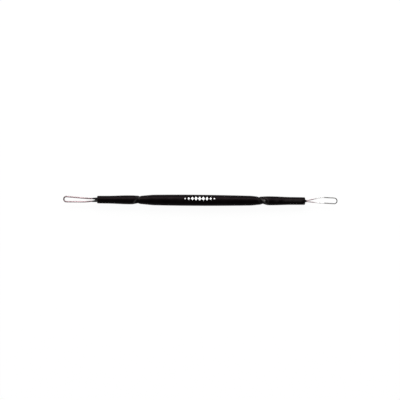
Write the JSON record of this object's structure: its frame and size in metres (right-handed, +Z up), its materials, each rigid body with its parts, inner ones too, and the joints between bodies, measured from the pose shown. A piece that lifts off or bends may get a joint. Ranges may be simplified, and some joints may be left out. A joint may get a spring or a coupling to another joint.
{
  "type": "blackhead extractor",
  "caption": "Slim black hand tool with a spindle grip, slanted waists, tapered end sleeves and a rounded steel wire loop at either end, pressed on the skin to clear blackheads.",
  "frame": {"origin": "middle of the centre grip, on the tool's long axis", "axes": "+X along the handle towards the fine loop, +Y across it in the plane of both loops, +Z up, square to the loops"},
  "size_m": [0.1402, 0.0056, 0.0056],
  "materials": {
    "handle_plastic": "fine satin, moulded",
    "loop_wire": "bright drawn stainless wire",
    "rod_steel": "plain drawn bar",
    "resin": "cured black resin"
  },
  "bodies": {
    "root": {"centre_grip": "handle_plastic", "left_sleeve": "handle_plastic", "right_sleeve": "handle_plastic", "core_rod": "rod_steel", "left_loop": "loop_wire", "right_loop": "loop_wire", "left_potting": "resin", "right_potting": "resin"}
  },
  "joints": []
}
